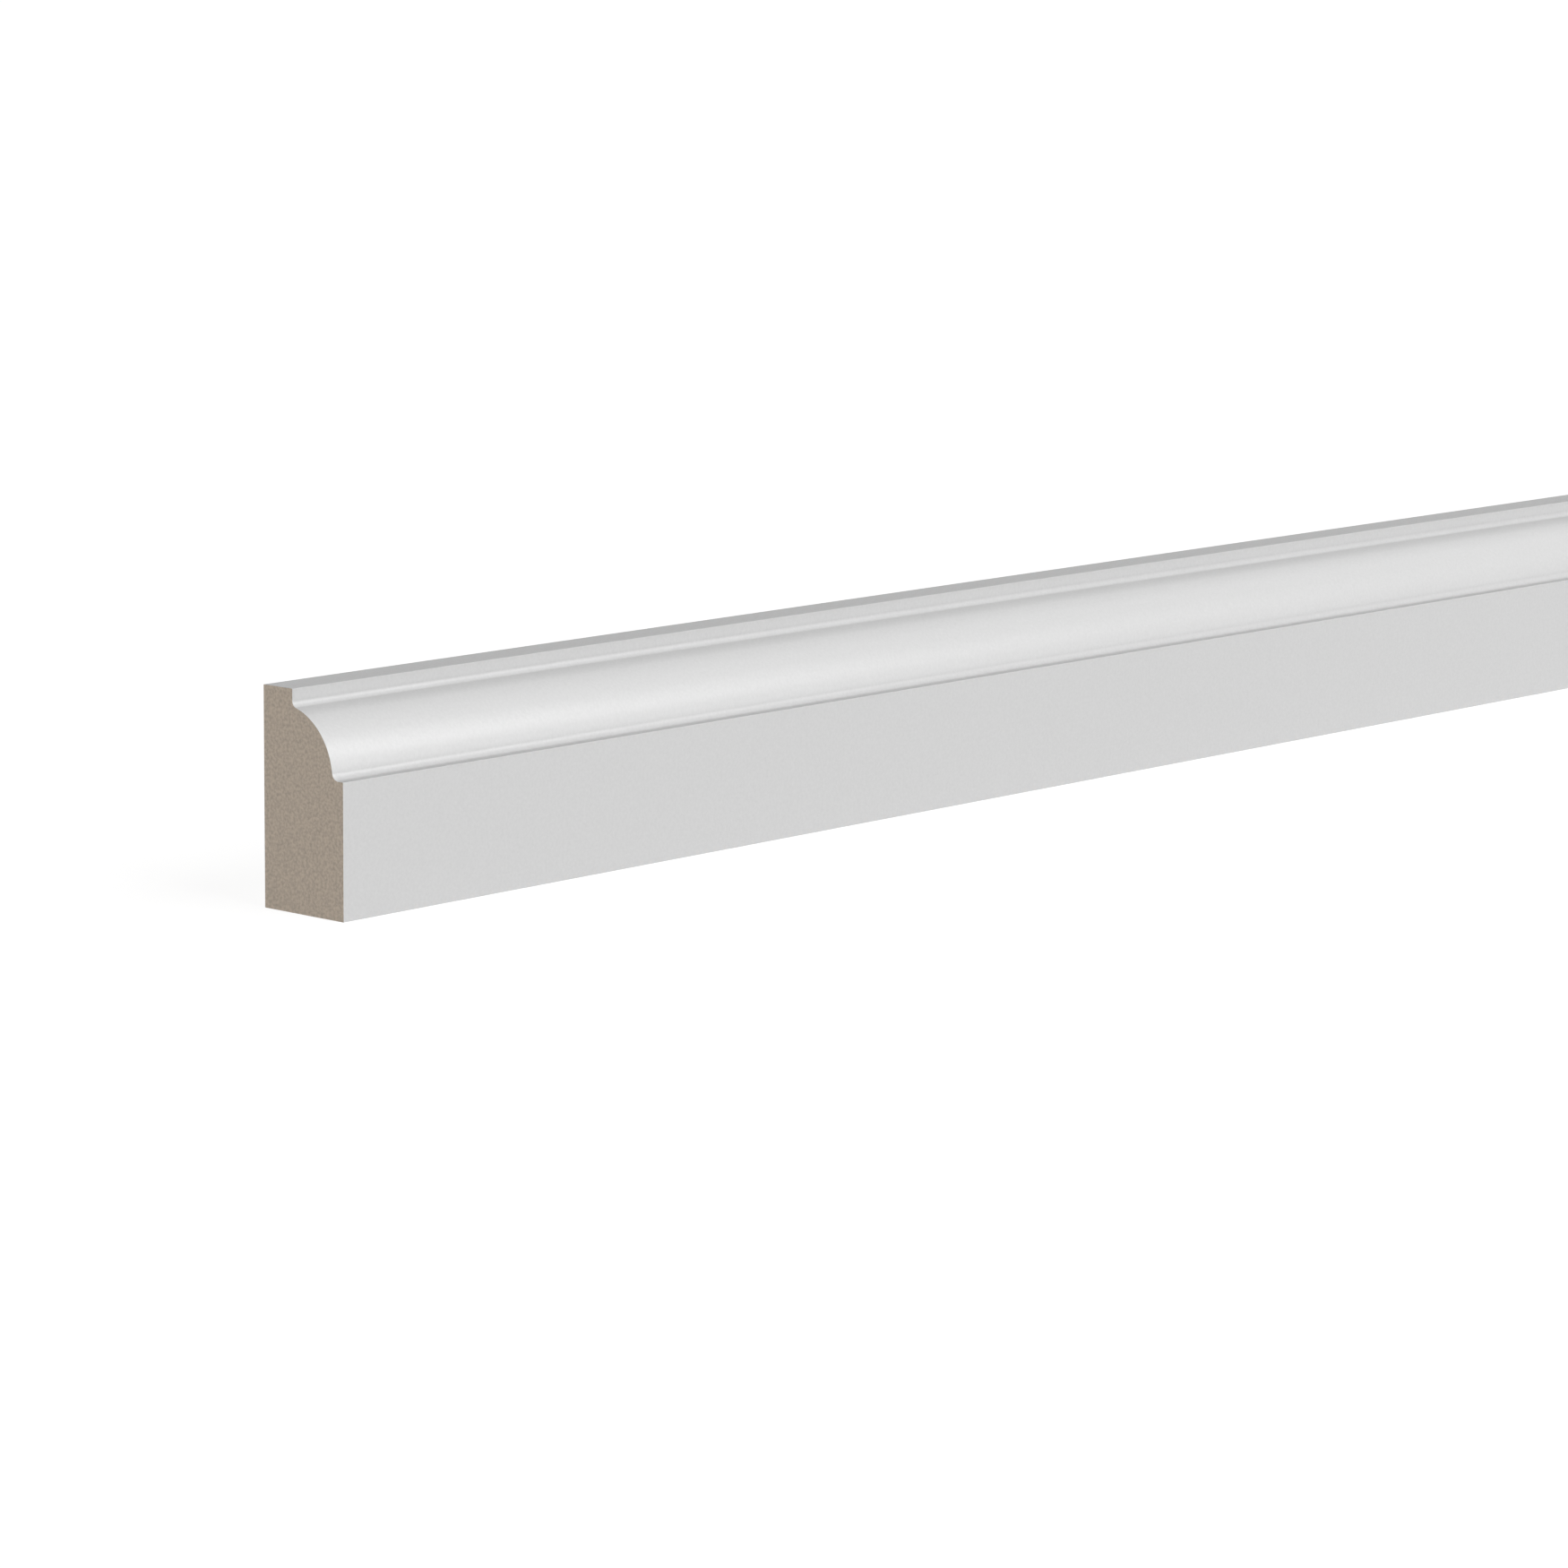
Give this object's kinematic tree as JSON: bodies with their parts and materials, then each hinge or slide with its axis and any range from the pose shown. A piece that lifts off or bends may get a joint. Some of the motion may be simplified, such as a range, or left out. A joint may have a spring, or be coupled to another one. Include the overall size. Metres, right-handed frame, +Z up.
{
  "type": "decorative moulding",
  "caption": "Straight MDF moulding that trims walls, doors and panels: a narrow lip, cove and round ovolo step down to a plain face, primed white, raw on the back and sawn ends.",
  "frame": {"origin": "middle of the underside: halfway along the length, halfway between the front face and the back", "axes": "+X along the length, +Y from the moulded front to the flat back, +Z up from the underside to the lip"},
  "size_m": [2.4, 0.016, 0.032],
  "materials": {
    "white_primer": "satin"
  },
  "bodies": {
    "root": {"moulding": "white_primer"}
  },
  "joints": []
}
